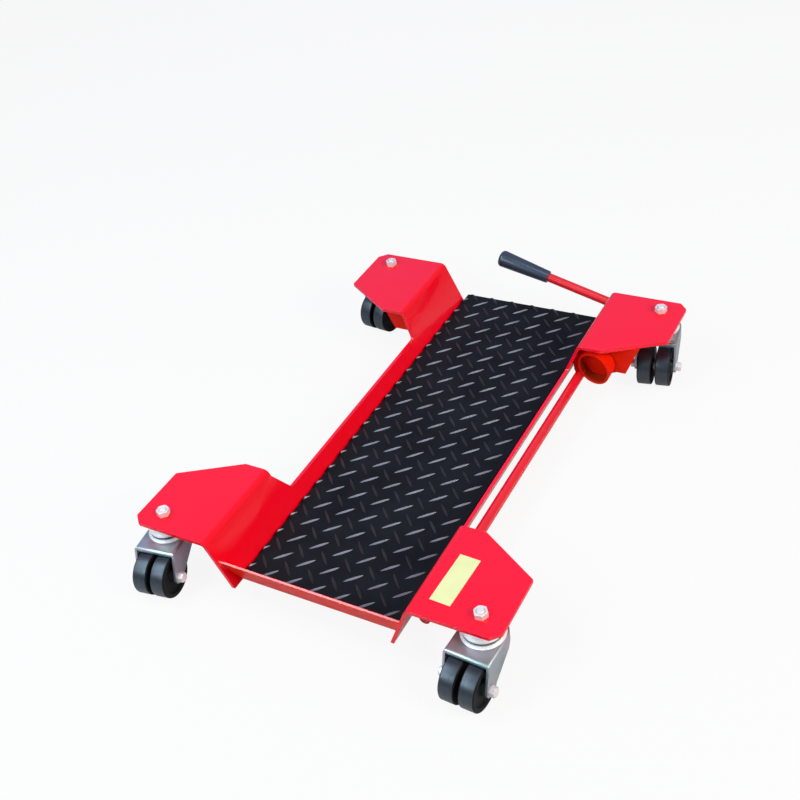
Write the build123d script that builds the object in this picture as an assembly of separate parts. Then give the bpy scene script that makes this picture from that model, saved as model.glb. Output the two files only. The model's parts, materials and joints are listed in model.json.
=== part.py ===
from build123d import *
import math
import os

# Motorcycle dolly: a tread deck hung between two bent side plates on four twin-wheel swivel casters.
# A bent bar along the right side turns an eccentric pipe down onto the floor to park it.
# Millimetres. X runs across, Y along towards the lever, Z up. The origin is on the floor under the middle.

# Side plates: flat ears, one long bend, a web sloping in to the deck and cut down to a rail between the ears
PLATE_LENGTH = 565.0
PLATE_SPAN = 440.0
SHEET = 4.0
BEND_RADIUS = 4.0
CHANNEL_TOP = 242.0
EAR_OPENING = 320.0
EAR_SIDE = 81.0
EAR_TONGUE = 30.0
EAR_CORNER = 10.0
EAR_ROUND = 2.5
RAIL_HEIGHT = 23.0
RAIL_NEAR_SLANT = 16.5
RAIL_FAR_SLANT = 5.0
RAIL_ROUND = 4.0

# Deck plate with its folded lip, and the mat on it
DECK_WIDTH = 192.0
DECK_CLEARANCE = 21.0
DECK_SHEET = 3.0
DECK_OVERHANG = 11.5
DECK_BEND = 3.0
LIP_HEIGHT = 34.0
LIP_LEAN = 13.0
LIP_SETBACK = 1.5
MAT_THICKNESS = 3.0
MAT_MARGIN = 1.5
MAT_SETBACK = 8.0

# Gussets under the ears
GUSSET_SHEET = 4.0
GUSSET_SETBACK = 20.0
GUSSET_DEPTH = 40.0
GUSSET_SNIP = 8.0
LEFT_GUSSET_WIDTH = 43.0
NEAR_RIGHT_GUSSET_WIDTH = 57.0
FAR_RIGHT_GUSSET_WIDTH = 67.5
GUSSET_SHOULDER = 11.0
SHAFT_LOBE = 24.0

# Label on the near right ear
LABEL_WIDTH = 23.0
LABEL_LENGTH = 63.5
LABEL_THICKNESS = 0.3
LABEL_FROM_SIDE = 59.0
LABEL_FROM_END = 21.5
LABEL_TURN = 2.3

# Lever bar, cam pipe and grip
BAR_DIAMETER = 12.0
SHAFT_FROM_WEB = 14.84
SHAFT_HEIGHT = 30.0
SHAFT_PAST_GUSSET = 70.5
LEVER_OVERHANG = 38.5
LEVER_LENGTH = 180.0
LEVER_RISE = 15.5
LEVER_BEND = 18.0
GRIP_LENGTH = 73.0
GRIP_ROOT = 16.5
GRIP_END = 23.0
GRIP_CAP = 12.0
PIPE_DIAMETER = 44.0
PIPE_WALL = 3.0
PIPE_LENGTH = 16.0
PIPE_SKEW = 12.5
PIPE_ANGLE = 41.5
PIPE_SADDLE = 0.4
PIPE_FROM_GUSSET = 1.5

# Casters: each set is a name, the sides of the dolly it sits on, and how far it is turned about its kingpin
CASTERS = [
    ("near_left", -1, -1, 8.0),
    ("near_right", 1, -1, -3.0),
    ("far_left", -1, 1, -6.0),
    ("far_right", 1, 1, 9.0),
]
CASTER_FROM_SIDE = 28.0
CASTER_FROM_END = 22.5
CASTER_TRAIL = 37.5
WHEEL_DIAMETER = 50.0
WHEEL_WIDTH = 17.0
WHEEL_GAP = 5.0
WHEEL_ROUND = 1.5
WHEEL_RIM = 5.0
WHEEL_RECESS = 2.5
HUB_DIAMETER = 17.0
HUB_PROUD = 2.4
HUB_CLEARANCE = 0.45
FORK_SHEET = 2.5
FORK_BEND = 1.0
FORK_HEADROOM = 4.5
FORK_FRONT = 35.0
FORK_FRONT_ROUND = 3.5
FORK_BOSS = 15.0
FORK_KNEE_BACK = 8.0
FORK_KNEE_DROP = 11.0
FORK_LIP = 5.5
AXLE_DIAMETER = 6.0
AXLE_HEX = 10.0
AXLE_HEAD = 6.0
AXLE_NUT = 5.0
AXLE_PROUD = 1.5
SLEEVE_DIAMETER = 9.0
COLLAR_DIAMETER = 14.0
COLLAR_CLEARANCE = 0.3
KINGPIN_DIAMETER = 10.0
KINGPIN_HEAD = 15.0
KINGPIN_HEAD_HEIGHT = 3.0
STUD_DIAMETER = 8.0
STUD_PROUD = 1.2
STUD_CHAMFER = 1.0
NUT_HEX = 13.0
NUT_HEIGHT = 6.5
CUP_DIAMETER = 42.0
CUP_HEIGHT = 13.7
CUP_RIM = 4.5
CUP_STEP = 0.7
CUP_ROUND = 1.5
RACE_HEIGHT = 3.5
RACE_BASE = 46.0
RACE_TOP = 40.0
RACE_ROUND = 1.5
SWIVEL_GAP = 1.8
BALL_DIAMETER = 6.0
BALL_CIRCLE = 26.0
BALL_COUNT = 11

# Clearances: all-round radial gaps of fixed and of turning fits, and the free play of a swivel
FIXED_FIT = 0.05
RUNNING_FIT = 0.08
BOLT_FIT = 0.2
SWIVEL_PLAY = 0.3

# Heights of the caster stack, which carries the ears
axle_height = WHEEL_DIAMETER / 2
bridge_under = WHEEL_DIAMETER + FORK_HEADROOM
bridge_top = bridge_under + FORK_SHEET
race_top = bridge_top + RACE_HEIGHT
cup_bottom = race_top + SWIVEL_GAP
ear_under = cup_bottom + CUP_HEIGHT
ear_top = ear_under + SHEET

# Shared positions of the plates
half_length = PLATE_LENGTH / 2
half_span = PLATE_SPAN / 2
half_opening = EAR_OPENING / 2
half_deck = DECK_WIDTH / 2
half_channel = CHANNEL_TOP / 2
deck_top = DECK_CLEARANCE + DECK_SHEET
rail_top = DECK_CLEARANCE + RAIL_HEIGHT
lip_top = DECK_CLEARANCE + LIP_HEIGHT
lip_foot = LIP_SETBACK + LIP_LEAN - half_length
deck_far = half_length + DECK_OVERHANG
web_lean = math.atan2(half_channel - half_deck, ear_top - DECK_CLEARANCE)
gusset_face = half_opening + GUSSET_SETBACK


def web_inner(z):
    return half_deck + (z - DECK_CLEARANCE) * math.tan(web_lean)


def web_outer(z):
    return web_inner(z) + SHEET / math.cos(web_lean)


shaft_x = web_outer(SHAFT_HEIGHT) + SHAFT_FROM_WEB


def across(points):
    return Plane.XZ * Polygon(*points, align=None)


def along(points):
    return Plane.YZ * Polygon(*points, align=None)


def rounded(face, radius, *corners):
    ordered = [face.vertices().sort_by_distance(corner)[0] for corner in corners]
    return fillet(ordered, radius)


def turned(points):
    return revolve(across(points), Axis.Z)


def hexagon(across_flats, height, bore):
    inner = across_flats / 2
    corner = across_flats / math.sqrt(3)
    prism = extrude(RegularPolygon(inner, 6, major_radius=False), height)
    cone = [(0, 0), (corner, 0), (corner, height - (corner - inner)), (inner, height), (0, height)]
    return (prism & turned(cone)) - Pos(0, 0, height / 2) * Cylinder(bore, 2 * height)


def tangent(point, centre, radius, side):
    reach = point[0] - centre[0]
    rise = point[1] - centre[1]
    angle = math.atan2(rise, reach) + side * math.acos(radius / math.hypot(reach, rise))
    return (centre[0] + radius * math.cos(angle), centre[1] + radius * math.sin(angle))


def side_plate():
    profile = across([
        (half_span, ear_top),
        (half_channel, ear_top),
        (web_inner(DECK_CLEARANCE), DECK_CLEARANCE),
        (web_outer(DECK_CLEARANCE), DECK_CLEARANCE),
        (web_outer(ear_under), ear_under),
        (half_span, ear_under),
    ])
    profile = rounded(profile, BEND_RADIUS + SHEET, (half_channel, 0, ear_top))
    profile = rounded(profile, BEND_RADIUS, (web_outer(ear_under), 0, ear_under))
    sheet = extrude(profile, half_length, both=True)

    tongue = half_channel + EAR_TONGUE
    side_start = half_length - EAR_SIDE
    corners = [
        (half_span - EAR_CORNER, half_length),
        (half_span, half_length - EAR_CORNER),
        (half_span, side_start),
        (tongue, half_opening),
    ]
    outline = [(0, half_length)] + corners + [(half_channel, half_opening)]
    near_side = [(x, -y) for x, y in reversed(outline)]
    plan = Polygon(*outline, *near_side, align=None)
    plan = rounded(plan, EAR_ROUND, *[(x, y, 0) for x, y in corners], *[(x, -y, 0) for x, y in corners])
    sheet &= extrude(plan, ear_top + SHEET, both=True)

    rail_near = RAIL_NEAR_SLANT - half_opening
    rail_far = half_opening - RAIL_FAR_SLANT
    window = along([
        (-half_opening, ear_top + SHEET),
        (-half_opening, ear_under - BEND_RADIUS),
        (rail_near, rail_top),
        (rail_far, rail_top),
        (half_opening, ear_under - BEND_RADIUS),
        (half_opening, ear_top + SHEET),
    ])
    window = rounded(window, RAIL_ROUND, (0, rail_near, rail_top), (0, rail_far, rail_top))
    sheet -= extrude(window, half_span, both=True)
    for side in (-1, 1):
        hole = Cylinder(STUD_DIAMETER / 2 + BOLT_FIT, 4 * SHEET)
        sheet -= Pos(half_span - CASTER_FROM_SIDE, side * (half_length - CASTER_FROM_END), ear_top) * hole
    return sheet


def deck_plate():
    lean = math.atan2(LIP_LEAN, LIP_HEIGHT)
    wall = DECK_SHEET / math.cos(lean)
    inner_foot = lip_foot - DECK_SHEET * math.tan(lean) + wall
    lip_back = lip_foot - LIP_LEAN + DECK_SHEET * math.cos(lean)
    lip_peak = lip_top + DECK_SHEET * math.sin(lean)
    profile = along([
        (deck_far, DECK_CLEARANCE),
        (deck_far, deck_top),
        (inner_foot, deck_top),
        (lip_back, lip_peak),
        (lip_foot - LIP_LEAN, lip_top),
        (lip_foot, DECK_CLEARANCE),
    ])
    profile = rounded(profile, DECK_BEND, (0, inner_foot, deck_top))
    profile = rounded(profile, DECK_BEND + DECK_SHEET, (0, lip_foot, DECK_CLEARANCE))
    channel = across([
        (-web_inner(DECK_CLEARANCE), DECK_CLEARANCE),
        (web_inner(DECK_CLEARANCE), DECK_CLEARANCE),
        (web_inner(lip_peak), lip_peak),
        (-web_inner(lip_peak), lip_peak),
    ])
    return extrude(profile, half_span, both=True) & extrude(channel, PLATE_LENGTH, both=True)


def tread_mat():
    near = lip_foot + MAT_SETBACK
    width = 2 * (web_inner(deck_top) - MAT_MARGIN)
    mat = Box(width, deck_far - near, MAT_THICKNESS)
    return Pos(0, (near + deck_far) / 2, deck_top + MAT_THICKNESS / 2) * mat


def gusset(width, end, bored):
    bottom = ear_under - GUSSET_DEPTH
    snip = ear_under - GUSSET_SNIP
    face = across([
        (web_outer(ear_under) + GUSSET_SNIP, ear_under),
        (web_outer(ear_under) + width, ear_under),
        (web_outer(bottom) + width, bottom),
        (web_outer(bottom), bottom),
        (web_outer(snip), snip),
    ])
    if bored:
        shaft = (shaft_x, SHAFT_HEIGHT)
        root = (web_outer(bottom), bottom)
        shoulder = (web_outer(bottom) + width - GUSSET_SHOULDER, bottom)
        outer_foot = tangent(shoulder, shaft, SHAFT_LOBE / 2, -1)
        inner_foot = tangent(root, shaft, SHAFT_LOBE / 2, 1)
        face += across([shoulder, outer_foot, shaft, inner_foot, root])
        face += Plane.XZ * Pos(*shaft) * Circle(SHAFT_LOBE / 2)
        face -= Plane.XZ * Pos(*shaft) * Circle(BAR_DIAMETER / 2 + RUNNING_FIT)
    plate = extrude(face, GUSSET_SHEET / 2, both=True)
    return Pos(0, end * (gusset_face + GUSSET_SHEET / 2), 0) * plate


def label():
    centre_x = half_span - LABEL_FROM_SIDE - LABEL_WIDTH / 2
    centre_y = LABEL_FROM_END + LABEL_LENGTH / 2 - half_length
    film = Box(LABEL_WIDTH, LABEL_LENGTH, LABEL_THICKNESS)
    return Pos(centre_x, centre_y, ear_top + LABEL_THICKNESS / 2) * Rot(0, 0, -LABEL_TURN) * film


def lever_pieces():
    lever_y = half_length + LEVER_OVERHANG
    rise = math.radians(LEVER_RISE)
    reach = (-math.cos(rise), 0, math.sin(rise))
    corner = Vector(shaft_x, lever_y, SHAFT_HEIGHT)
    start = Vector(shaft_x, -gusset_face - SHAFT_PAST_GUSSET, SHAFT_HEIGHT)
    tip = corner + Vector(reach) * (LEVER_LENGTH - GRIP_CAP)
    path = FilletPolyline(start, corner, tip, radius=LEVER_BEND)
    bar = sweep(Plane(start, z_dir=(0, 1, 0)) * Circle(BAR_DIAMETER / 2), path=path)

    bore = BAR_DIAMETER / 2 + FIXED_FIT
    outline = across([
        (bore, 0),
        (GRIP_ROOT / 2, 0),
        (GRIP_END / 2, GRIP_LENGTH),
        (0, GRIP_LENGTH),
        (0, GRIP_LENGTH - GRIP_CAP),
        (bore, GRIP_LENGTH - GRIP_CAP),
    ])
    outline = rounded(outline, GRIP_END / 4, (GRIP_END / 2, 0, GRIP_LENGTH))
    root = corner + Vector(reach) * (LEVER_LENGTH - GRIP_LENGTH)
    grip = Plane(root, x_dir=(0, 1, 0), z_dir=reach) * revolve(outline, Axis.Z)

    offset = (PIPE_DIAMETER + BAR_DIAMETER) / 2 - PIPE_SADDLE
    angle = math.radians(PIPE_ANGLE)
    pipe_x = shaft_x + offset * math.cos(angle)
    pipe_z = SHAFT_HEIGHT + offset * math.sin(angle)
    pipe_far = gusset_face - PIPE_FROM_GUSSET
    ring = Circle(PIPE_DIAMETER / 2) - Circle(PIPE_DIAMETER / 2 - PIPE_WALL)
    tube = Pos(0, pipe_far, 0) * extrude(Plane.XZ * Pos(pipe_x, pipe_z) * ring, PIPE_LENGTH + PIPE_DIAMETER)
    skew = math.radians(PIPE_SKEW)
    mouth = Plane((pipe_x, pipe_far - PIPE_LENGTH, pipe_z), z_dir=(math.sin(skew), math.cos(skew), 0))
    tube = split(tube, bisect_by=mouth, keep=Keep.TOP)
    saddle = Plane.XZ * Pos(shaft_x, SHAFT_HEIGHT) * Circle(bore)
    return {"lever_bar": bar, "lever_grip": grip, "cam_pipe": tube - extrude(saddle, half_length, both=True)}


def kingpin():
    head_top = bridge_under - SWIVEL_PLAY
    pin = turned([
        (0, head_top - KINGPIN_HEAD_HEIGHT),
        (KINGPIN_HEAD / 2, head_top - KINGPIN_HEAD_HEIGHT),
        (KINGPIN_HEAD / 2, head_top),
        (KINGPIN_DIAMETER / 2, head_top),
        (KINGPIN_DIAMETER / 2, ear_under),
        (STUD_DIAMETER / 2, ear_under),
        (STUD_DIAMETER / 2, ear_top + NUT_HEIGHT + STUD_PROUD),
        (0, ear_top + NUT_HEIGHT + STUD_PROUD),
    ])
    return chamfer(pin.edges().group_by(Axis.Z)[-1], STUD_CHAMFER)


def upper_cup():
    bore = KINGPIN_DIAMETER / 2 + FIXED_FIT
    rim = CUP_DIAMETER / 2
    wall = rim - CUP_STEP
    face = across([
        (bore, cup_bottom),
        (rim, cup_bottom),
        (rim, cup_bottom + CUP_RIM),
        (wall, cup_bottom + CUP_RIM),
        (wall, ear_under),
        (bore, ear_under),
    ])
    face = rounded(face, CUP_ROUND, (rim, 0, cup_bottom), (wall, 0, ear_under))
    track = Pos(0, 0, race_top + SWIVEL_GAP / 2) * Torus(BALL_CIRCLE / 2, BALL_DIAMETER / 2 + SWIVEL_PLAY)
    return revolve(face, Axis.Z) - track


def lower_race():
    bore = KINGPIN_DIAMETER / 2 + SWIVEL_PLAY
    face = across([
        (bore, bridge_top),
        (RACE_BASE / 2, bridge_top),
        (RACE_TOP / 2, race_top),
        (bore, race_top),
    ])
    face = rounded(face, RACE_ROUND, (RACE_TOP / 2, 0, race_top))
    track = Pos(0, 0, race_top + SWIVEL_GAP / 2) * Torus(BALL_CIRCLE / 2, BALL_DIAMETER / 2 + BOLT_FIT)
    return revolve(face, Axis.Z) - track


def swivel_balls():
    ball = Pos(0, 0, race_top + SWIVEL_GAP / 2) * Sphere(BALL_DIAMETER / 2)
    return Part() + [spot * ball for spot in PolarLocations(BALL_CIRCLE / 2, BALL_COUNT)]


fork_inner = WHEEL_GAP / 2 + WHEEL_WIDTH + HUB_PROUD + HUB_CLEARANCE
fork_outer = fork_inner + FORK_SHEET


def fork():
    channel = across([
        (-fork_outer, 0),
        (-fork_outer, bridge_top),
        (fork_outer, bridge_top),
        (fork_outer, 0),
        (fork_inner, 0),
        (fork_inner, bridge_under),
        (-fork_inner, bridge_under),
        (-fork_inner, 0),
    ])
    outer_bend = FORK_BEND + FORK_SHEET
    channel = rounded(channel, outer_bend, (-fork_outer, 0, bridge_top), (fork_outer, 0, bridge_top))
    channel = rounded(channel, FORK_BEND, (-fork_inner, 0, bridge_under), (fork_inner, 0, bridge_under))
    shell = extrude(channel, 2 * CASTER_TRAIL, both=True)

    axle = (-CASTER_TRAIL, axle_height)
    front = (-FORK_FRONT, bridge_top)
    knee = (FORK_KNEE_BACK, bridge_top - FORK_KNEE_DROP)
    leg = along([
        front,
        tangent(front, axle, FORK_BOSS / 2, 1),
        axle,
        tangent(knee, axle, FORK_BOSS / 2, -1),
        knee,
        (fork_outer, bridge_under),
        (fork_outer, bridge_top),
    ])
    leg = rounded(leg, FORK_FRONT_ROUND, (0, *front))
    leg += Plane.YZ * Pos(*axle) * Circle(FORK_BOSS / 2)
    shell &= extrude(leg, 2 * fork_outer, both=True)

    plan = Circle(fork_outer) + Pos(0, -CASTER_TRAIL) * Rectangle(2 * fork_outer, 2 * CASTER_TRAIL)
    shell &= extrude(plan, bridge_top)
    lip_bottom = bridge_top - FORK_LIP
    lip = along([
        (-FORK_FRONT, lip_bottom),
        (-FORK_FRONT, bridge_top),
        (FORK_SHEET - FORK_FRONT, bridge_top),
        (FORK_SHEET - FORK_FRONT, lip_bottom),
    ])
    shell += extrude(lip & leg, fork_inner, both=True)
    shell -= Pos(0, 0, bridge_top) * Cylinder(KINGPIN_DIAMETER / 2 + RUNNING_FIT, 4 * FORK_SHEET)
    bolt_hole = Rot(0, 90, 0) * Cylinder(AXLE_DIAMETER / 2 + FIXED_FIT, 4 * fork_outer)
    return shell - Pos(0, *axle) * bolt_hole


def on_axle(piece):
    return Pos(0, -CASTER_TRAIL, axle_height) * Rot(0, 90, 0) * piece


def axle_bolt():
    length = 2 * fork_outer + AXLE_NUT + AXLE_PROUD
    head = Pos(0, 0, fork_outer) * hexagon(AXLE_HEX, AXLE_HEAD, 0)
    shank = Pos(0, 0, fork_outer - length / 2) * Cylinder(AXLE_DIAMETER / 2, length)
    return on_axle(head + shank)


def axle_nut():
    nut = hexagon(AXLE_HEX, AXLE_NUT, AXLE_DIAMETER / 2 + FIXED_FIT)
    return on_axle(Pos(0, 0, -fork_outer) * Rot(180, 0, 0) * nut)


def axle_sleeve():
    tube = Cylinder(SLEEVE_DIAMETER / 2, 2 * fork_inner)
    tube += Cylinder(COLLAR_DIAMETER / 2, WHEEL_GAP - 2 * COLLAR_CLEARANCE)
    return on_axle(tube - Cylinder(AXLE_DIAMETER / 2 + FIXED_FIT, 4 * fork_inner))


def wheel(side):
    bore = SLEEVE_DIAMETER / 2 + RUNNING_FIT
    tread = WHEEL_DIAMETER / 2
    floor = WHEEL_WIDTH - WHEEL_RECESS
    dish = tread - WHEEL_RIM
    face = across([
        (bore, 0),
        (tread, 0),
        (tread, WHEEL_WIDTH),
        (dish, WHEEL_WIDTH),
        (dish - WHEEL_RECESS / 2, floor),
        (HUB_DIAMETER / 2, floor),
        (HUB_DIAMETER / 2, WHEEL_WIDTH + HUB_PROUD),
        (bore, WHEEL_WIDTH + HUB_PROUD),
    ])
    face = rounded(face, WHEEL_ROUND, (tread, 0, 0), (tread, 0, WHEEL_WIDTH))
    body = Pos(0, 0, WHEEL_GAP / 2) * revolve(face, Axis.Z)
    return on_axle(Rot(90 - 90 * side, 0, 0) * body)


right_plate = side_plate()
nodes = {
    "left_side_plate": mirror(right_plate, about=Plane.YZ),
    "right_side_plate": right_plate,
    "deck_plate": deck_plate(),
    "tread_mat": tread_mat(),
    "near_left_gusset": mirror(gusset(LEFT_GUSSET_WIDTH, -1, False), about=Plane.YZ),
    "far_left_gusset": mirror(gusset(LEFT_GUSSET_WIDTH, 1, False), about=Plane.YZ),
    "near_right_gusset": gusset(NEAR_RIGHT_GUSSET_WIDTH, -1, True),
    "far_right_gusset": gusset(FAR_RIGHT_GUSSET_WIDTH, 1, True),
    "label": label(),
}
nodes.update(lever_pieces())

caster = {
    "kingpin": kingpin(),
    "stud_nut": Pos(0, 0, ear_top) * hexagon(NUT_HEX, NUT_HEIGHT, STUD_DIAMETER / 2 + FIXED_FIT),
    "upper_cup": upper_cup(),
    "lower_race": lower_race(),
    "swivel_balls": swivel_balls(),
    "fork": fork(),
    "axle_bolt": axle_bolt(),
    "axle_nut": axle_nut(),
    "axle_sleeve": axle_sleeve(),
    "left_wheel": wheel(-1),
    "right_wheel": wheel(1),
}
for corner_name, side_x, side_y, yaw in CASTERS:
    x = side_x * (half_span - CASTER_FROM_SIDE)
    y = side_y * (half_length - CASTER_FROM_END)
    for piece_name, piece in caster.items():
        nodes[f"{corner_name}_{piece_name}"] = Pos(x, y, 0) * Rot(0, 0, yaw) * piece

os.makedirs("parts", exist_ok=True)
for node_name, shape in nodes.items():
    export_step(shape, f"parts/{node_name}.step")
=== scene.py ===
import json
import math

import bmesh
import bpy
from mathutils import Color, Matrix, Vector

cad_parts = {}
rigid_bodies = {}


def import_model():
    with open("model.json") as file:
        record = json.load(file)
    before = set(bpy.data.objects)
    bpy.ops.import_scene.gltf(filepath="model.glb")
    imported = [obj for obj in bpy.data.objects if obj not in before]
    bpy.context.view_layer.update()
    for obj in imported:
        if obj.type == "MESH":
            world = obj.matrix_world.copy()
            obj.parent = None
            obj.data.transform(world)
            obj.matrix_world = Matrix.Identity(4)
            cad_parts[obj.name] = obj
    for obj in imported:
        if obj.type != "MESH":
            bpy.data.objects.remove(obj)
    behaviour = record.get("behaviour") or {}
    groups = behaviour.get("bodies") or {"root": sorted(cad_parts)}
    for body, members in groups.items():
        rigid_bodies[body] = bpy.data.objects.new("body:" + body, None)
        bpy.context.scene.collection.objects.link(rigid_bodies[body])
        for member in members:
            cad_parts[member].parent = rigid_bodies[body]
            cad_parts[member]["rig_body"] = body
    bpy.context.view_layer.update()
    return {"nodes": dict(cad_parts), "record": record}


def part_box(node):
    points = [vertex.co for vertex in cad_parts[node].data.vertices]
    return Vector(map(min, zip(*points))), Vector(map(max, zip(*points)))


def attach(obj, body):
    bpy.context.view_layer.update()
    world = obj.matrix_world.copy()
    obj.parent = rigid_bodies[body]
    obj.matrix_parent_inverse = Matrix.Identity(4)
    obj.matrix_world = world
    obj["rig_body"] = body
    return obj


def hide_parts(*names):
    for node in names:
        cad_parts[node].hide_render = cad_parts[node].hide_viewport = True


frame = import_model()


# Side plates: two mirrored pressings of 4 mm steel sheet, each bent once along its length, with an ear
# over each caster and a low rail between the ears. Their red gloss enamel lies slightly wavy and rounds
# off every sheared edge; the rounded edges are painted a darker red as shade, to draw a dark outline.
sharp_angle = math.radians(35)
flat_angle = math.radians(0.3)
rounding_steps = 3
noise_low = 0.3
noise_high = 0.7
enamel_rounding = 0.0015


def screen(red, green, blue):
    """A colour as it looks on a screen, 0 to 255, as the linear light that shaders take."""
    return (*Color((red / 255, green / 255, blue / 255)).from_srgb_to_scene_linear(), 1.0)


def new_finish(name, **constants):
    """A material with its surface shader, whose constants are set by socket name."""
    finish = bpy.data.materials.new(name)
    finish.use_nodes = True
    shader = finish.node_tree.nodes["Principled BSDF"]
    for socket, value in constants.items():
        shader.inputs[socket.replace("_", " ")].default_value = value
    return finish


def grain(finish, scale, detail=2.0, stretch=(1.0, 1.0, 1.0), place="Object"):
    """Noise in the metres of the piece, or along its own wrap; scale is grains per metre."""
    nodes = finish.node_tree.nodes
    links = finish.node_tree.links
    spot = nodes.new("ShaderNodeTexCoord")
    mapping = nodes.new("ShaderNodeMapping")
    mapping.inputs["Scale"].default_value = stretch
    noise = nodes.new("ShaderNodeTexNoise")
    noise.inputs["Scale"].default_value = scale
    noise.inputs["Detail"].default_value = detail
    links.new(spot.outputs[place], mapping.inputs["Vector"])
    links.new(mapping.outputs["Vector"], noise.inputs["Vector"])
    return noise.outputs["Fac"]


def colour_by(finish, value, *stops):
    """Base colour along a ramp of (position, screen colour) stops."""
    nodes = finish.node_tree.nodes
    ramp = nodes.new("ShaderNodeValToRGB")
    elements = ramp.color_ramp.elements
    elements[0].position = stops[0][0]
    elements[0].color = screen(*stops[0][1])
    elements[1].position = stops[-1][0]
    elements[1].color = screen(*stops[-1][1])
    for position, colour in stops[1:-1]:
        elements.new(position).color = screen(*colour)
    finish.node_tree.links.new(value, ramp.inputs["Fac"])
    finish.node_tree.links.new(ramp.outputs["Color"], nodes["Principled BSDF"].inputs["Base Color"])


def mottle(finish, value, dark, light):
    """Base colour that wanders between two screen colours over the middle of a noise."""
    colour_by(finish, value, (noise_low, dark), (noise_high, light))


def roughness_by(finish, value, low, high):
    """Roughness between low and high over the middle of a noise."""
    nodes = finish.node_tree.nodes
    spread = nodes.new("ShaderNodeMapRange")
    spread.inputs["From Min"].default_value = noise_low
    spread.inputs["From Max"].default_value = noise_high
    spread.inputs["To Min"].default_value = low
    spread.inputs["To Max"].default_value = high
    finish.node_tree.links.new(value, spread.inputs["Value"])
    finish.node_tree.links.new(spread.outputs["Result"], nodes["Principled BSDF"].inputs["Roughness"])


def relief_by(finish, value, strength, depth):
    """Fine relief of the given depth in metres."""
    nodes = finish.node_tree.nodes
    bump = nodes.new("ShaderNodeBump")
    bump.inputs["Strength"].default_value = strength
    bump.inputs["Distance"].default_value = depth
    finish.node_tree.links.new(value, bump.inputs["Height"])
    finish.node_tree.links.new(bump.outputs["Normal"], nodes["Principled BSDF"].inputs["Normal"])


def show(piece, *nodes):
    """Shows a finished piece in the place of its solids."""
    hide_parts(*nodes)
    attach(piece, frame["nodes"][nodes[0]]["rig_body"])


def ease_edges(piece, width):
    """Rounds off the sharp edges of a piece."""
    rounding = piece.modifiers.new("rounded edges", "BEVEL")
    rounding.width = width
    rounding.segments = rounding_steps
    rounding.limit_method = "ANGLE"
    rounding.angle_limit = sharp_angle
    rounding.harden_normals = True


def new_piece(name, mesh, finish):
    """An object for a finished mesh, smooth but for its sharp edges."""
    mesh.shade_smooth()
    mesh.set_sharp_from_angle(angle=sharp_angle)
    mesh.materials.clear()
    mesh.materials.append(finish)
    piece = bpy.data.objects.new(name, mesh)
    bpy.context.collection.objects.link(piece)
    return piece


def eased_copy(node, edge, finish):
    """A copy of a solid with its sharp edges rounded off, shown in its place."""
    shape = bmesh.new()
    shape.from_mesh(frame["nodes"][node].data)
    bmesh.ops.remove_doubles(shape, verts=shape.verts, dist=1e-6)
    bmesh.ops.dissolve_limit(shape, angle_limit=flat_angle, verts=shape.verts, edges=shape.edges)
    mesh = bpy.data.meshes.new(f"{node}_eased")
    shape.to_mesh(mesh)
    shape.free()
    piece = new_piece(f"{node}_eased", mesh, finish)
    ease_edges(piece, edge)
    show(piece, node)
    return piece


red_enamel = new_finish("red_enamel", IOR=1.45, Specular_IOR_Level=0.45)
mottle(red_enamel, grain(red_enamel, 6.0, 1.0), (246, 5, 32), (250, 8, 39))
roughness_by(red_enamel, grain(red_enamel, 55.0, 3.0), 0.09, 0.15)
relief_by(red_enamel, grain(red_enamel, 260.0, 1.0), 0.05, 0.0004)
# painted shade: the rounded edges get a darker red, standing in for the dark outline that shade gives
# them
edge_red = new_finish("edge_red", IOR=1.45, Specular_IOR_Level=0.8)
mottle(edge_red, grain(edge_red, 40.0), (158, 8, 40), (176, 10, 48))
roughness_by(edge_red, grain(edge_red, 80.0, 3.0), 0.16, 0.24)
for plate in ("left_side_plate", "right_side_plate"):
    sheet = eased_copy(plate, enamel_rounding, red_enamel)
    sheet.data.materials.append(edge_red)
    sheet.modifiers["rounded edges"].material = 1


# Deck plate and gussets: 3 mm sheet with its near end folded up into a stop lip, and four 4 mm plates
# that stiffen the ears from below. They are cut from flat sheet, welded to the side plates and sprayed
# with a thinner coat. The edge of the lip is rubbed bright by the tyres that roll over it.
corners = ("near_left", "near_right", "far_left", "far_right")
sheet_rounding = 0.0006
lip_edge_low = 0.045
upward = 0.5
red_satin = new_finish("red_satin", IOR=1.45, Specular_IOR_Level=0.1)
rubbed_red = new_finish("rubbed_red", IOR=1.45, Specular_IOR_Level=0.9)
for finish, low, high in ((red_satin, 0.28, 0.38), (rubbed_red, 0.16, 0.24)):
    mottle(finish, grain(finish, 9.0), (222, 28, 5), (234, 34, 8))
    roughness_by(finish, grain(finish, 80.0, 3.0), low, high)
    relief_by(finish, grain(finish, 120.0), 0.04, 0.0004)
deck = eased_copy("deck_plate", sheet_rounding, red_satin)
deck.data.materials.append(rubbed_red)
for face in deck.data.polygons:
    face.material_index = int(face.normal.z > upward and face.center.z > lip_edge_low)
for corner in corners:
    eased_copy(f"{corner}_gusset", sheet_rounding, red_satin)


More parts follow.
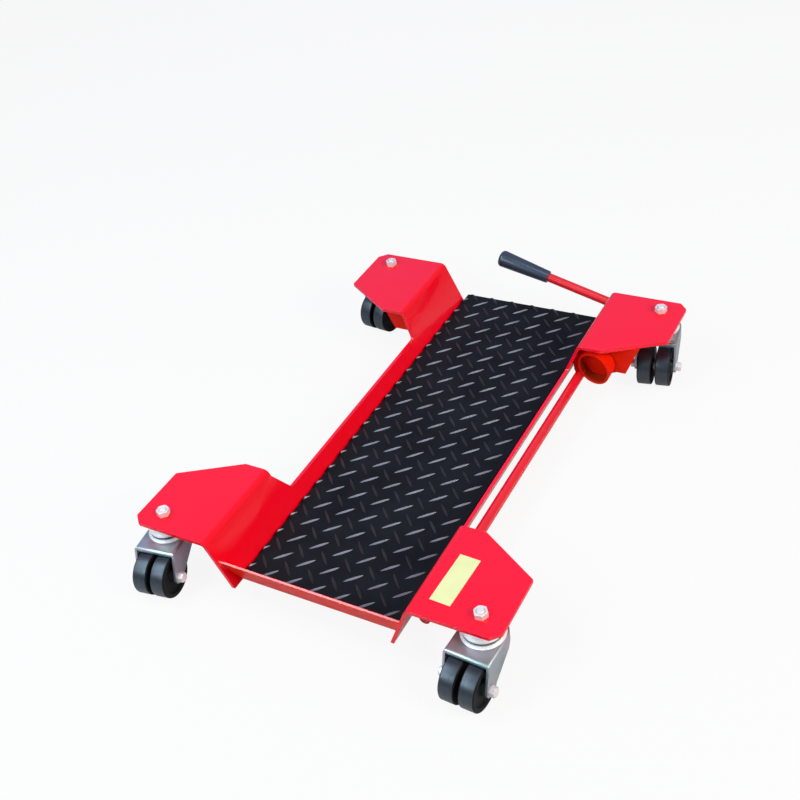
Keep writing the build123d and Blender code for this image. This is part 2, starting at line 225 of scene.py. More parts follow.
# Weld beads: hand-laid runs of molten wire that hold the lip, the gussets and the deck plate to the side
# plates, each a little rippled. They were laid before spraying, so the enamel covers them.
plate_low, plate_high = (Vector(corner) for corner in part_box("right_side_plate"))
gusset_high = Vector(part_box("far_right_gusset")[1])
bead_offset = 0.0002
deck_half_width = plate_low.x
deck_underside = plate_low.z
web_slope = 0.4237
web_sheet = 0.0045
lip_foot = -0.2683
lip_lean = 13 / 34
lip_run = (0.042, 0.0545)
gusset_face = gusset_high.y + bead_offset
gusset_run = (0.038, 0.070)
ear_underside = gusset_high.z - bead_offset
ear_run = (0.127, 0.150)
stitch_count = 7
stitch_first = -0.245
stitch_pitch = 0.078
stitch_length = 0.028
stitch_across = deck_half_width + bead_offset
stitch_height = deck_underside + 2 * bead_offset
bead_radius = 0.0019
bead_spacing = 0.0007
bead_sides = 10
bead_ripple = 1500.0
bead_waist = 0.75
bead_swell = 0.3
bead_taper = 8.0
bead_tip = 0.15


def new_tree(name, **inputs):
    """A node tree that grows a piece, with the sockets of its named inputs."""
    tree = bpy.data.node_groups.new(name, "GeometryNodeTree")
    tree.interface.new_socket("Start", in_out="INPUT", socket_type="NodeSocketGeometry")
    for label, kind in inputs.items():
        socket_type = f"NodeSocket{kind}"
        tree.interface.new_socket(label.replace("_", " "), in_out="INPUT", socket_type=socket_type)
    tree.interface.new_socket("Piece", in_out="OUTPUT", socket_type="NodeSocketGeometry")
    return tree, tree.nodes.new("NodeGroupInput").outputs


def step(tree, kind, settings, **inputs):
    """Adds one node; each of its inputs gets a link or a value."""
    node = tree.nodes.new(kind)
    for setting, value in settings.items():
        setattr(node, setting, value)
    for label, given in inputs.items():
        socket = node.inputs[label.replace("_", " ")]
        if isinstance(given, bpy.types.NodeSocket):
            tree.links.new(given, socket)
        else:
            socket.default_value = given
    return node.outputs[0]


def reckon(tree, operation, *given, kind="ShaderNodeMath"):
    """Adds one sum, of numbers or of vectors."""
    node = tree.nodes.new(kind)
    node.operation = operation
    for socket, value in zip(node.inputs, given):
        if isinstance(value, bpy.types.NodeSocket):
            tree.links.new(value, socket)
        else:
            socket.default_value = value
    return node.outputs[0]


def finish_tree(tree, shape, finish):
    """Ends a tree in one real mesh with its material."""
    solid = step(tree, "GeometryNodeRealizeInstances", {}, Geometry=shape)
    done = step(tree, "GeometryNodeSetMaterial", {}, Geometry=solid, Material=finish)
    tree.links.new(done, tree.nodes.new("NodeGroupOutput").inputs[0])


def grow(name, tree, start, finish, **sizes):
    """The piece that a tree grows from a starting mesh with the given sizes, as a plain mesh."""
    seed = bpy.data.objects.new(f"{name}_seed", start)
    bpy.context.collection.objects.link(seed)
    growth = seed.modifiers.new("growth", "NODES")
    growth.node_group = tree
    sizes["Finish"] = finish
    for socket in tree.interface.items_tree:
        value = sizes.get(socket.name.replace(" ", "_"))
        if value is not None:
            growth[socket.identifier] = value
    ready = seed.evaluated_get(bpy.context.evaluated_depsgraph_get())
    mesh = bpy.data.meshes.new_from_object(ready)
    seed.modifiers.remove(growth)
    bpy.data.objects.remove(seed)
    return new_piece(name, mesh, finish)


def web_face(height):
    """How far the inner face of a web stands from the middle at a height."""
    return deck_half_width + (height - deck_underside) * web_slope


bead_tree, given = new_tree("weld_beads", Bead_Radius="Float", Ripple="Float", Finish="Material")
run = step(bead_tree, "GeometryNodeMeshToCurve", {}, Mesh=given["Start"])
run = step(bead_tree, "GeometryNodeResampleCurve", {"mode": "LENGTH"}, Curve=run, Length=bead_spacing)
travel = bead_tree.nodes.new("GeometryNodeSplineParameter")
phase = reckon(bead_tree, "MULTIPLY", travel.outputs["Length"], given["Ripple"])
swell = reckon(bead_tree, "ABSOLUTE", reckon(bead_tree, "SINE", phase))
swell = reckon(bead_tree, "MULTIPLY_ADD", swell, bead_swell, bead_waist)
ends = reckon(bead_tree, "PINGPONG", travel.outputs["Factor"], 0.5)
ends = reckon(bead_tree, "SQRT", reckon(bead_tree, "MULTIPLY", ends, bead_taper))
ends = reckon(bead_tree, "MINIMUM", ends, 1.0)
swell = reckon(bead_tree, "MULTIPLY", swell, ends)
swell = reckon(bead_tree, "MAXIMUM", swell, bead_tip)
ring = step(bead_tree, "GeometryNodeCurvePrimitiveCircle", {}, Resolution=bead_sides,
            Radius=given["Bead Radius"])
bead = step(bead_tree, "GeometryNodeCurveToMesh", {}, Curve=run, Profile_Curve=ring, Scale=swell,
            Fill_Caps=True)
finish_tree(bead_tree, bead, given["Finish"])

lines = []
for side in (-1, 1):
    lines.append([(side * web_face(z), lip_foot - (z - deck_underside) * lip_lean, z) for z in lip_run])
    for end in (-1, 1):
        face = end * gusset_face
        lines.append([(side * (web_face(z) + web_sheet), face, z) for z in gusset_run])
        lines.append([(side * x, face, ear_underside) for x in ear_run])
    for stitch in range(stitch_count):
        near = stitch_first + stitch_pitch * stitch
        lines.append([(side * stitch_across, y, stitch_height) for y in (near, near + stitch_length)])
runs = bpy.data.meshes.new("weld_runs")
runs.from_pydata(sum(lines, []), [(2 * index, 2 * index + 1) for index in range(len(lines))], [])
beads = grow("weld_beads", bead_tree, runs, red_enamel, Bead_Radius=bead_radius, Ripple=bead_ripple)
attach(beads, "frame")


# Tread mat: a moulded sheet of black rubber, cut to the deck and glued down. Its face carries rows of
# low pointed lugs, set crosswise in turn, and a fine moulded grain. The lugs that rise towards the right
# are painted pale grey as their highlight, and those that fall are painted dark as their shade.
mat_rounding = 0.0006
lug_half_length = 0.0120
lug_half_width = 0.0018
lug_height = 0.00145
lug_taper = 0.7
lug_slope = 0.5
lug_sink = 0.0001
lug_section = ((-1.0, 0.0), (-0.3, 0.84), (0.0, 1.0), (0.3, 0.84), (1.0, 0.0))
lug_stations = 7
lug_across = 0.030
lug_along = 0.02795
lug_rows = 20
mat_edge = Vector((0.0004, 0.0004, -0.01))
mat_rubber = new_finish("mat_rubber", IOR=1.45, Specular_IOR_Level=0.12)
mottle(mat_rubber, grain(mat_rubber, 25.0, 4.0), (14, 17, 20), (23, 27, 31))
roughness_by(mat_rubber, grain(mat_rubber, 140.0, 3.0), 0.5, 0.65)
relief_by(mat_rubber, grain(mat_rubber, 1100.0), 0.2, 0.0002)
eased_copy("tread_mat", mat_rounding, mat_rubber)
# painted highlight: the lugs that rise towards the right are coloured pale grey, for the light they
# catch
lug_rubber = new_finish("lug_rubber", IOR=1.5, Specular_IOR_Level=0.6)
mottle(lug_rubber, grain(lug_rubber, 60.0, 4.0), (108, 113, 127), (124, 129, 143))
roughness_by(lug_rubber, grain(lug_rubber, 400.0, 3.0), 0.26, 0.36)
relief_by(lug_rubber, grain(lug_rubber, 900.0), 0.05, 0.0002)
# painted shade: the lugs that fall are coloured dark, for the shade on their sides
scuffed_rubber = new_finish("scuffed_rubber", IOR=1.5, Specular_IOR_Level=0.25)
mottle(scuffed_rubber, grain(scuffed_rubber, 60.0, 4.0), (34, 37, 42), (46, 50, 56))
roughness_by(scuffed_rubber, grain(scuffed_rubber, 400.0, 3.0), 0.3, 0.42)
relief_by(scuffed_rubber, grain(scuffed_rubber, 900.0), 0.1, 0.0002)

lug = bmesh.new()
tips = [lug.verts.new((end * lug_half_length, 0.0, 0.0)) for end in (-1, 1)]
sections = []
for station in range(1, lug_stations):
    along = station / lug_stations
    belly = 4 * along * (1 - along)
    place = (2 * along - 1) * lug_half_length
    half_width = lug_half_width * belly ** lug_taper
    height = lug_height * belly ** lug_slope
    sections.append([lug.verts.new((place, side * half_width, up * height)) for side, up in lug_section])
for index in range(len(lug_section)):
    follow = (index + 1) % len(lug_section)
    lug.faces.new((tips[0], sections[0][index], sections[0][follow]))
    lug.faces.new((tips[1], sections[-1][follow], sections[-1][index]))
    for section, after in zip(sections, sections[1:]):
        lug.faces.new((section[index], after[index], after[follow], section[follow]))
bmesh.ops.recalc_face_normals(lug, faces=lug.faces)

lug_tree, given = new_tree("tread_lugs", Columns="Int", Rows="Int", Spread_Across="Float",
                           Spread_Along="Float", Middle="Vector", Turn="Rotation", Low_Edge="Vector",
                           High_Edge="Vector", Finish="Material")
lattice = step(lug_tree, "GeometryNodeMeshGrid", {}, Size_X=given["Spread Across"],
               Size_Y=given["Spread Along"], Vertices_X=given["Columns"], Vertices_Y=given["Rows"])
lattice = step(lug_tree, "GeometryNodeTransform", {}, Geometry=lattice, Translation=given["Middle"])
lugs = step(lug_tree, "GeometryNodeInstanceOnPoints", {}, Points=lattice, Instance=given["Start"],
            Rotation=given["Turn"])
lugs = step(lug_tree, "GeometryNodeRealizeInstances", {}, Geometry=lugs)
spot = lug_tree.nodes.new("GeometryNodeInputPosition").outputs["Position"]
spot = reckon(lug_tree, "MAXIMUM", spot, given["Low Edge"], kind="ShaderNodeVectorMath")
spot = reckon(lug_tree, "MINIMUM", spot, given["High Edge"], kind="ShaderNodeVectorMath")
lugs = step(lug_tree, "GeometryNodeSetPosition", {}, Geometry=lugs, Position=spot)
finish_tree(lug_tree, lugs, given["Finish"])

mat_low, mat_high = (Vector(corner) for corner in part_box("tread_mat"))
for name, turn, first, columns, finish in (("rising", 45, (-0.099, -0.2548), 7, lug_rubber),
                                           ("falling", -45, (-0.084, -0.2408), 6, scuffed_rubber)):
    spread = (lug_across * (columns - 1), lug_along * (lug_rows - 1))
    middle = (first[0] + spread[0] / 2, first[1] + spread[1] / 2, mat_high.z - lug_sink)
    lug_mesh = bpy.data.meshes.new(f"{name}_lug")
    lug.to_mesh(lug_mesh)
    lugs = grow(f"{name}_lugs", lug_tree, lug_mesh, finish, Columns=columns, Rows=lug_rows,
                Spread_Across=spread[0], Spread_Along=spread[1], Middle=middle,
                Turn=(0.0, 0.0, math.radians(turn)), Low_Edge=mat_low + mat_edge,
                High_Edge=mat_high - mat_edge)
    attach(lugs, "frame")
lug.free()


# Label: a blank strip of pale yellow plastic film, cut with square corners and stuck by hand to the near
# right ear. It is satin, and a little uneven where it was pressed on.
label_rounding = 0.0001
label_film = new_finish("label_film", IOR=1.45)
mottle(label_film, grain(label_film, 60.0, 3.0), (223, 227, 162), (229, 232, 175))
roughness_by(label_film, grain(label_film, 200.0), 0.42, 0.55)
relief_by(label_film, grain(label_film, 120.0, 3.0), 0.1, 0.0002)
eased_copy("label", label_rounding, label_film)


# Lever bar: 12 mm round steel bar, bent once to a hand lever and sprayed with a duller red than the
# plates. It is slid through the gussets on the right and turns in them.
bar_radius = 0.006
bar_sides = 32
bar_rounding = 0.0007
bend_radius = 0.018
bend_steps = 14
joints = {joint["name"]: joint for joint in frame["record"]["behaviour"]["joints"]}
shaft = Vector(joints["lever_turn"]["pos_m"])
shaft_near = Vector(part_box("lever_bar")[0]).y
shaft_far = 0.321
lever_rise = math.radians(15.5)
lever_length = 0.168
red_bar = new_finish("red_bar", IOR=1.45, Specular_IOR_Level=0.9)
mottle(red_bar, grain(red_bar, 25.0), (218, 18, 34), (228, 26, 44))
roughness_by(red_bar, grain(red_bar, 120.0), 0.22, 0.28)
relief_by(red_bar, grain(red_bar, 90.0), 0.03, 0.0003)

bar_tree, given = new_tree("bent_bar", Bar_Radius="Float", Bend_Radius="Float", Finish="Material")
route = step(bar_tree, "GeometryNodeMeshToCurve", {}, Mesh=given["Start"])
route = step(bar_tree, "GeometryNodeFilletCurve", {"mode": "POLY"}, Curve=route, Count=bend_steps,
             Radius=given["Bend Radius"])
ring = step(bar_tree, "GeometryNodeCurvePrimitiveCircle", {}, Resolution=bar_sides,
            Radius=given["Bar Radius"])
bar = step(bar_tree, "GeometryNodeCurveToMesh", {}, Curve=route, Profile_Curve=ring, Fill_Caps=True)
finish_tree(bar_tree, bar, given["Finish"])

lever_way = Vector((-math.cos(lever_rise), 0.0, math.sin(lever_rise)))
bar_start = Vector((shaft.x, shaft_near, shaft.z))
bar_corner = Vector((shaft.x, shaft_far, shaft.z))
path = bpy.data.meshes.new("bar_path")
path.from_pydata([bar_start, bar_corner, bar_corner + lever_length * lever_way], [(0, 1), (1, 2)], [])
bar = grow("lever_bar_bent", bar_tree, path, red_bar, Bar_Radius=bar_radius, Bend_Radius=bend_radius)
ease_edges(bar, bar_rounding)
show(bar, "lever_bar")


# Cam pipe: a short cut of 44 mm steel pipe, sawn off askew and welded along the bar, sprayed red but
# browned by thin paint in its bore. Turning the lever brings it down onto the floor.
pipe_rounding = 0.0006
bore_reach = 0.015
seam_across = 0.1242
seam_height = 0.03515
seam_run = (0.167, 0.1775)
seam_radius = 0.0016
pipe = eased_copy("cam_pipe", pipe_rounding, red_satin)
bore_brown = new_finish("bore_brown", IOR=1.45, Specular_IOR_Level=0.2)
mottle(bore_brown, grain(bore_brown, 70.0, 4.0), (150, 34, 8), (172, 40, 14))
roughness_by(bore_brown, grain(bore_brown, 200.0, 3.0), 0.45, 0.6)
relief_by(bore_brown, grain(bore_brown, 700.0), 0.1, 0.0003)
pipe.data.materials.append(bore_brown)
pipe_low, pipe_high = (Vector(corner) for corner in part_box("cam_pipe"))
pipe_middle = (pipe_low + pipe_high) / 2
for face in pipe.data.polygons:
    inward = (pipe_middle - face.center) * Vector((1.0, 0.0, 1.0))
    face.material_index = int(inward.dot(face.normal) > bore_reach)
seam = bpy.data.meshes.new("pipe_seam")
seam.from_pydata([(seam_across, y, seam_height) for y in seam_run], [(0, 1)], [])
pipe_weld = grow("pipe_weld", bead_tree, seam, red_bar, Bead_Radius=seam_radius, Ripple=bead_ripple)
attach(pipe_weld, "lever")


# Grip: a slate-coloured plastic handle, moulded hollow and thicker towards its rounded end. It is pushed
# onto the end of the lever and holds there by its own squeeze.
grip_bore = 0.0061
grip_root = 0.00825
grip_end = 0.0115
grip_length = 0.073
grip_depth = 0.061
grip_start = 0.107
# painted reflection: a blue tint on the gloss of the grip and the tyres, for the sky light they mirror
painted_sky_gloss = (0.7, 0.84, 1.0, 1.0)


def rounded_outline(bends, steps=5):
    """A closed outline of (radius, height, rounding) bends, each rounded by an arc."""
    outline = []
    for index, (across, up, rounding) in enumerate(bends):
        here = Vector((across, up))
        before = (Vector(bends[index - 1][:2]) - here).normalized()
        after = (Vector(bends[(index + 1) % len(bends)][:2]) - here).normalized()
        half = before.angle(after) / 2
        centre = here + (before + after).normalized() * rounding / math.sin(half)
        first = here + before * rounding / math.tan(half)
        last = here + after * rounding / math.tan(half)
        if rounding:
            spokes = [(first - centre).lerp(last - centre, part / steps) for part in range(steps + 1)]
            outline += [centre + spoke.normalized() * rounding for spoke in spokes]
        else:
            outline.append(here)
    return outline


def turned(name, outline, spots, finish, steps=72):
    """A closed outline turned about the own axis of each spot, with the turning wrapped on it."""
    shape = bmesh.new()
    wrap = shape.loops.layers.uv.new("turning")
    count = len(outline)
    travel = [0.0]
    for index in range(count):
        travel.append(travel[-1] + (outline[(index + 1) % count] - outline[index]).length)
    for place in spots:
        rings = []
        for part in range(steps):
            spun = place @ Matrix.Rotation(math.tau * part / steps, 4, "Z")
            rings.append([shape.verts.new(spun @ Vector((point.x, 0.0, point.y))) for point in outline])
        for part in range(steps):
            ring = rings[part]
            after = rings[(part + 1) % steps]
            for index in range(count):
                follow = (index + 1) % count
                face = shape.faces.new((ring[index], after[index], after[follow], ring[follow]))
                wraps = ((part, index), (part + 1, index), (part + 1, index + 1), (part, index + 1))
                for loop, (around, onward) in zip(face.loops, wraps):
                    loop[wrap].uv = (around / steps, travel[onward])
    bmesh.ops.remove_doubles(shape, verts=shape.verts, dist=1e-7)
    bmesh.ops.recalc_face_normals(shape, faces=shape.faces)
    mesh = bpy.data.meshes.new(name)
    shape.to_mesh(mesh)
    shape.free()
    return new_piece(name, mesh, finish)


def standing(spot, axis):
    """A place whose own Z axis points along the given axis."""
    return Matrix.Translation(spot) @ Vector(axis).to_track_quat("Z", "Y").to_matrix().to_4x4()


grip_plastic = new_finish("grip_plastic", IOR=1.5, Specular_IOR_Level=1.0, Specular_Tint=painted_sky_gloss)
mottle(grip_plastic, grain(grip_plastic, 40.0, 3.0), (38, 47, 64), (48, 59, 79))
roughness_by(grip_plastic, grain(grip_plastic, 150.0, 3.0), 0.28, 0.38)
relief_by(grip_plastic, grain(grip_plastic, 900.0), 0.08, 0.0002)
grip_outline = rounded_outline([
    (grip_bore, 0.0, 0.0), (grip_root, 0.0, 0.0008), (grip_end, grip_length, 0.0052),
    (0.0, grip_length, 0.0), (0.0, grip_depth, 0.0), (grip_bore, grip_depth, 0.0),
])
grip_place = standing(bar_corner + grip_start * lever_way, lever_way)
grip = turned("lever_grip_moulded", grip_outline, [grip_place], grip_plastic)
show(grip, "lever_grip")


# Kingpins and stud nuts: zinc plated steel pins riveted into the casters, whose threaded ends come up
# through the ears and are held there by hexagon nuts with a countersunk thread.
pin_place = Vector(joints["far_right_swivel"]["pos_m"])
pin_rounding = 0.0003
ear_top = plate_high.z
nut_flats = 0.013
nut_height = 0.0065
nut_bore = 0.00405
nut_sink = 0.0012
nut_face = nut_flats / 2 * 0.97
nut_shoulder = math.tan(math.radians(30))
nut_steps = 72
nut_zinc = new_finish("nut_zinc", Metallic=0.2)
mottle(nut_zinc, grain(nut_zinc, 60.0, 3.0), (224, 216, 219), (234, 228, 231))
roughness_by(nut_zinc, grain(nut_zinc, 400.0, 3.0), 0.34, 0.44)
relief_by(nut_zinc, grain(nut_zinc, 800.0), 0.1, 0.0002)
for corner in corners:
    eased_copy(f"{corner}_kingpin", pin_rounding, nut_zinc)

nut = bmesh.new()
nut_rings = []
for part in range(nut_steps):
    spin = math.tau * part / nut_steps
    hex_reach = nut_flats / 2 / math.cos((spin + math.pi / 6) % (math.pi / 3) - math.pi / 6)
    shoulder = nut_height - (hex_reach - nut_face) * nut_shoulder
    profile = ((nut_bore, 0.0), (hex_reach, 0.0), (hex_reach, shoulder), (nut_face, nut_height),
               (nut_bore + nut_sink, nut_height), (nut_bore, nut_height - nut_sink))
    nut_rings.append([nut.verts.new((r * math.cos(spin), r * math.sin(spin), z)) for r, z in profile])
for ring, after in zip(nut_rings, nut_rings[1:] + nut_rings[:1]):
    for index in range(len(ring)):
        follow = (index + 1) % len(ring)
        nut.faces.new((ring[index], after[index], after[follow], ring[follow]))
bmesh.ops.recalc_face_normals(nut, faces=nut.faces)
nut_mesh = bpy.data.meshes.new("stud_nut")
nut.to_mesh(nut_mesh)
nut.free()

nut_tree, given = new_tree("stud_nuts", Spread_Across="Float", Spread_Along="Float", Seat="Vector",
                           Seed="Int", Finish="Material")
studs = step(nut_tree, "GeometryNodeMeshGrid", {}, Size_X=given["Spread Across"],
             Size_Y=given["Spread Along"], Vertices_X=2, Vertices_Y=2)
studs = step(nut_tree, "GeometryNodeTransform", {}, Geometry=studs, Translation=given["Seat"])
turns = step(nut_tree, "FunctionNodeRandomValue", {"data_type": "FLOAT_VECTOR"}, Min=(0.0, 0.0, 0.0),
             Max=(0.0, 0.0, 1.0), Seed=given["Seed"])
nuts = step(nut_tree, "GeometryNodeInstanceOnPoints", {}, Points=studs, Instance=given["Start"],
            Rotation=turns)
finish_tree(nut_tree, nuts, given["Finish"])
stud_nuts = grow("stud_nuts_tightened", nut_tree, nut_mesh, nut_zinc, Spread_Across=2 * pin_place.x,
                 Spread_Along=2 * pin_place.y, Seat=(0.0, 0.0, ear_top), Seed=3)
show(stud_nuts, *(f"{corner}_stud_nut" for corner in corners))


# Upper cups: deep bright zinc plated cups that carry the upper ball track of each caster and are clamped
# under the ears. They are pressed from sheet, with a rolled rim, and show faint drawing rings.
pin_hole = 0.00505
cup_bottom, cup_top = (Vector(corner).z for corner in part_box("near_left_upper_cup"))
cup_wall = 0.0203
rim_radius = 0.021
rim_top = 0.0668
bright_zinc = new_finish("bright_zinc", Metallic=0.12)
drawing = grain(bright_zinc, 1.0, 3.0, (5.0, 1400.0, 1.0), "UV")
mottle(bright_zinc, grain(bright_zinc, 60.0, 3.0), (251, 246, 248), (254, 252, 253))
roughness_by(bright_zinc, drawing, 0.24, 0.34)
relief_by(bright_zinc, drawing, 0.02, 0.0001)
cup_outline = rounded_outline([
    (pin_hole, cup_bottom, 0.0), (rim_radius, cup_bottom, 0.0015), (rim_radius, rim_top, 0.0005),
    (cup_wall, rim_top, 0.0001), (cup_wall, cup_top, 0.0015), (pin_hole, cup_top, 0.0),
])
pins = []
for corner in corners:
    across, along = joints[f"{corner}_swivel"]["pos_m"][:2]
    pins.append(Matrix.Translation((across, along, 0.0)))
cups = turned("upper_cups_pressed", cup_outline, pins, bright_zinc)
show(cups, *(f"{corner}_upper_cup" for corner in corners))


# Lower races, balls and sleeves: a domed race sits on each fork, with hardened balls running between it
# and the cup. It is bright at its foot and painted darker towards its top, as shade under the cup's rim.
# The wheels turn on a drawn tube round the axle bolt.
race_bottom, race_top = (Vector(corner).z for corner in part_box("near_left_lower_race"))
race_knee = 0.0582
race_foot = 0.0230
race_waist = 0.0212
race_crown = 0.0200
ball_steel = new_finish("ball_steel", Metallic=1.0)
mottle(ball_steel, grain(ball_steel, 300.0), (186, 188, 190), (200, 201, 203))
roughness_by(ball_steel, grain(ball_steel, 900.0), 0.08, 0.16)
sleeve_steel = new_finish("sleeve_steel", Metallic=1.0)
mottle(sleeve_steel, grain(sleeve_steel, 120.0, 3.0), (132, 135, 138), (150, 152, 156))
roughness_by(sleeve_steel, grain(sleeve_steel, 500.0, 3.0), 0.3, 0.45)
race_zinc = new_finish("race_zinc", Metallic=0.12)
race_nodes = race_zinc.node_tree.nodes
spot = race_nodes.new("ShaderNodeTexCoord")
climb = race_nodes.new("ShaderNodeSeparateXYZ")
span = race_nodes.new("ShaderNodeMapRange")
span.inputs["From Min"].default_value = race_bottom
span.inputs["From Max"].default_value = race_top
race_zinc.node_tree.links.new(spot.outputs["Object"], climb.inputs["Vector"])
race_zinc.node_tree.links.new(climb.outputs["Z"], span.inputs["Value"])
# painted shade: the race turns dark towards its top, for the shade under the cup's rim
colour_by(race_zinc, span.outputs["Result"], (0.0, (246, 249, 252)), (0.62, (240, 246, 249)),
          (0.8, (112, 130, 132)), (1.0, (70, 84, 86)))
roughness_by(race_zinc, grain(race_zinc, 500.0, 3.0), 0.24, 0.34)
race_outline = rounded_outline([
    (pin_hole, race_bottom, 0.0), (race_foot, race_bottom, 0.0), (race_waist, race_knee, 0.0015),
    (race_crown, race_top, 0.0015), (pin_hole, race_top, 0.0),
])
for pin, corner in zip(pins, corners):
    race = turned(f"{corner}_lower_race_domed", race_outline, [pin], race_zinc)
    show(race, f"{corner}_lower_race")
    for piece, steel in (("swivel_balls", ball_steel), ("axle_sleeve", sleeve_steel)):
        for place in frame["nodes"][f"{corner}_{piece}"].material_slots:
            place.material = steel


# Forks and axles: each fork is stamped from 2.5 mm sheet, bent down into two legs and barrel plated with
# zinc, which leaves faint rainbow patches. A hexagon bolt and nut draw its legs up on the axle sleeve.
fork_rounding = 0.0005
bolt_rounding = 0.0004
zinc_plate = new_finish("zinc_plate", Metallic=0.7)
colour_by(zinc_plate, grain(zinc_plate, 38.0, 3.0), (0.30, (136, 158, 162)), (0.45, (154, 172, 176)),
          (0.55, (170, 174, 186)), (0.66, (172, 160, 182)), (0.75, (160, 176, 180)))
roughness_by(zinc_plate, grain(zinc_plate, 320.0, 3.0), 0.28, 0.36)
relief_by(zinc_plate, grain(zinc_plate, 260.0), 0.04, 0.0002)
for corner in corners:
    eased_copy(f"{corner}_fork", fork_rounding, zinc_plate)
    eased_copy(f"{corner}_axle_bolt", bolt_rounding, nut_zinc)
    eased_copy(f"{corner}_axle_nut", bolt_rounding, nut_zinc)


# Wheels: twin black plastic wheels on each axle, moulded with a dished outer side and a hub that runs on
# the sleeve. The treads are turned true after moulding and show fine rings.
wheel_bore = 0.00458
wheel_radius = joints["near_left_left_wheel_spin"]["pos_m"][2]
wheel_inside = 0.0025
wheel_outside = 0.0195
wheel_rounding = 0.0015
wheel_steps = 96
rim_inside = 0.0200
dish_radius = 0.01875
dish_face = 0.0170
hub_radius = 0.0085
hub_end = 0.0219
hub_rounding = 0.0006
bore_rounding = 0.0004
sideways = 0.4
wheel_plastic = new_finish("wheel_plastic", IOR=1.5, Specular_IOR_Level=1.0, Specular_Tint=painted_sky_gloss)
turning = grain(wheel_plastic, 1.0, 3.0, (4.0, 1700.0, 1.0), "UV")
mottle(wheel_plastic, turning, (12, 15, 21), (20, 25, 34))
roughness_by(wheel_plastic, turning, 0.30, 0.46)
relief_by(wheel_plastic, turning, 0.15, 0.0002)
moulded_plastic = new_finish("moulded_plastic", IOR=1.5, Specular_IOR_Level=0.15)
mottle(moulded_plastic, grain(moulded_plastic, 90.0, 3.0), (12, 14, 16), (20, 22, 25))
roughness_by(moulded_plastic, grain(moulded_plastic, 500.0, 3.0), 0.48, 0.6)
relief_by(moulded_plastic, grain(moulded_plastic, 900.0), 0.1, 0.0002)
wheel_outline = rounded_outline([
    (wheel_bore, wheel_inside, 0.0), (wheel_radius, wheel_inside, wheel_rounding),
    (wheel_radius, wheel_outside, wheel_rounding), (rim_inside, wheel_outside, hub_rounding),
    (dish_radius, dish_face, hub_rounding), (hub_radius, dish_face, hub_rounding),
    (hub_radius, hub_end, hub_rounding), (wheel_bore, hub_end, bore_rounding),
])
for corner in corners:
    for side, way in (("left", -1), ("right", 1)):
        node = f"{corner}_{side}_wheel"
        spin = joints[f"{node}_spin"]
        axle = Vector(spin["axis"])
        place = standing(spin["pos_m"], way * axle)
        wheel = turned(f"{node}_turned", wheel_outline, [place], wheel_plastic, wheel_steps)
        wheel.data.materials.append(moulded_plastic)
        for face in wheel.data.polygons:
            face.material_index = int(abs(face.normal.dot(axle)) > sideways)
        show(wheel, node)


# Studio: a wide sheet of white paper on the floor in an even soft room. Daylight soft boxes stand
# overhead, on the left and in front, a dim blue one behind on the left and a warmer one on the right.
# The camera stands where the photograph was taken from.
paper_half = 6.0
paper_grey = 0.64
seen_white = 0.9
mirrored_white = 0.12
daylight = (0.80, 0.92, 1.0)
warm_white = (1.0, 0.90, 0.78)
evening_blue = (0.30, 0.26, 1.0)
floor_mesh = bpy.data.meshes.new("floor")
floor_corners = [(-paper_half, -paper_half, 0.0), (paper_half, -paper_half, 0.0),
                 (paper_half, paper_half, 0.0), (-paper_half, paper_half, 0.0)]
floor_mesh.from_pydata(floor_corners, [], [(0, 1, 2, 3)])
floor = bpy.data.objects.new("floor", floor_mesh)
bpy.context.collection.objects.link(floor)


def whiten(tree, lit, white, out):
    """Shows plain white to the camera, and a little of it in mirrors, over the lit surface."""
    nodes = tree.nodes
    links = tree.links
    path = nodes.new("ShaderNodeLightPath")
    mirrored = nodes.new("ShaderNodeMath")
    mirrored.operation = "MAXIMUM"
    dimmed = nodes.new("ShaderNodeMath")
    dimmed.operation = "MULTIPLY"
    dimmed.inputs[1].default_value = mirrored_white
    share = nodes.new("ShaderNodeMath")
    share.operation = "MULTIPLY_ADD"
    share.inputs[1].default_value = seen_white
    blend = nodes.new("ShaderNodeMixShader")
    links.new(path.outputs["Is Glossy Ray"], mirrored.inputs[0])
    links.new(path.outputs["Is Transmission Ray"], mirrored.inputs[1])
    links.new(mirrored.outputs["Value"], dimmed.inputs[0])
    links.new(path.outputs["Is Camera Ray"], share.inputs[0])
    links.new(dimmed.outputs["Value"], share.inputs[2])
    links.new(share.outputs["Value"], blend.inputs["Fac"])
    links.new(lit.outputs[0], blend.inputs[1])
    links.new(white.outputs[0], blend.inputs[2])
    links.new(blend.outputs["Shader"], out.inputs["Surface"])


paper = bpy.data.materials.new("white_paper")
paper.use_nodes = True
paper_nodes = paper.node_tree.nodes
paper_nodes.clear()
matt = paper_nodes.new("ShaderNodeBsdfDiffuse")
matt.inputs["Color"].default_value = (paper_grey, paper_grey, paper_grey, 1.0)
glow = paper_nodes.new("ShaderNodeEmission")
whiten(paper.node_tree, matt, glow, paper_nodes.new("ShaderNodeOutputMaterial"))
floor_mesh.materials.append(paper)

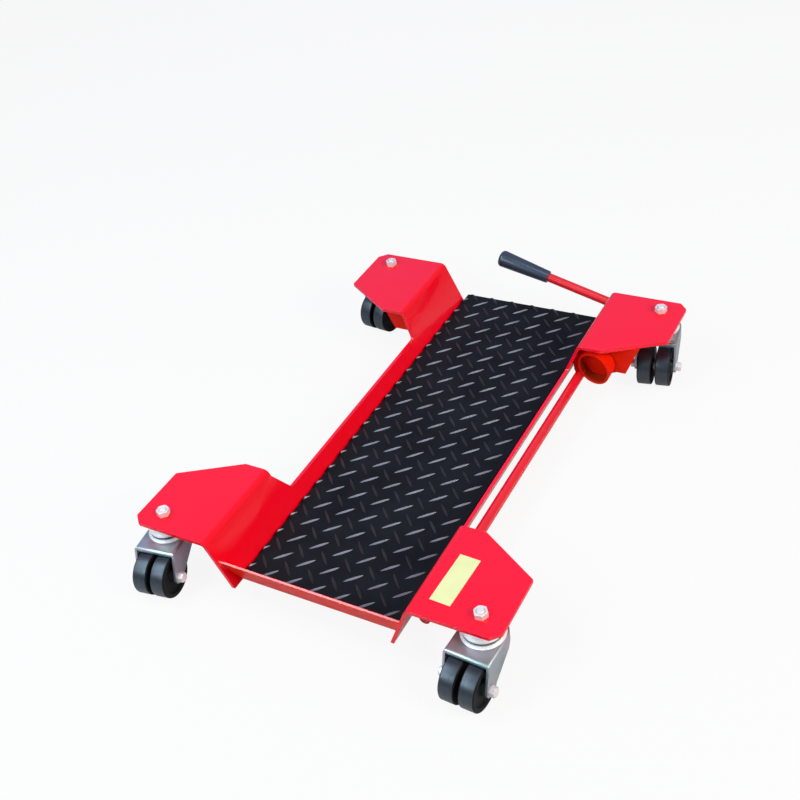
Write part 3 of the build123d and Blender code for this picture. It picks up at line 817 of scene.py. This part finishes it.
room = bpy.data.worlds.new("soft_room")
bpy.context.scene.world = room
room.use_nodes = True
air = room.node_tree.nodes
sky = air["Background"]
aim = air.new("ShaderNodeTexCoord")
height = air.new("ShaderNodeSeparateXYZ")
fade = air.new("ShaderNodeValToRGB")
fade.color_ramp.elements[0].color = (0.16, 0.16, 0.16, 1.0)
fade.color_ramp.elements[1].color = (0.28, 0.30, 0.32, 1.0)
room.node_tree.links.new(aim.outputs["Generated"], height.inputs["Vector"])
room.node_tree.links.new(height.outputs["Z"], fade.inputs["Fac"])
room.node_tree.links.new(fade.outputs["Color"], sky.inputs["Color"])
haze = air.new("ShaderNodeBackground")
haze.inputs["Color"].default_value = (1.0, 1.0, 1.0, 1.0)
whiten(room.node_tree, sky, haze, air["World Output"])


def soft_box(name, place, width, watts, tint):
    """A square soft light that looks at the dolly."""
    lamp = bpy.data.lights.new(name, "AREA")
    lamp.size = width
    lamp.energy = watts
    lamp.color = tint
    box = bpy.data.objects.new(name, lamp)
    bpy.context.collection.objects.link(box)
    box.location = place
    box.rotation_euler = (-Vector(place)).to_track_quat("-Z", "Y").to_euler()


soft_box("overhead", (0.6, -0.25, 2.05), 0.9, 6.0, daylight)
soft_box("left", (-0.95, -0.5, 1.8), 0.6, 9.0, daylight)
soft_box("front_left", (-0.9, -0.95, 1.48), 0.55, 7.0, daylight)
soft_box("front", (-0.62, -1.45, 1.12), 0.65, 11.0, daylight)
soft_box("far_left", (-0.95, 1.36, 1.31), 1.8, 7.0, evening_blue)
soft_box("right", (2.0, -0.2, 1.3), 0.9, 38.0, warm_white)

lens = bpy.data.cameras.new("photo_camera")
lens.sensor_width = 36.0
lens.lens = 50.88
camera = bpy.data.objects.new("photo_camera", lens)
bpy.context.collection.objects.link(camera)
camera_place = (0.56128, -0.85936, 0.90384)
right = Vector((0.86992959, 0.47345214, -0.13807821))
down = Vector((0.20390184, -0.60021242, -0.77341392))
ahead = Vector((-0.44905073, 0.64466125, -0.6186803))
turn = Matrix((right, -down, -ahead)).transposed()
camera.matrix_world = Matrix.Translation(camera_place) @ turn.to_4x4()
bpy.context.scene.camera = camera
bpy.context.scene.view_settings.view_transform = "Standard"
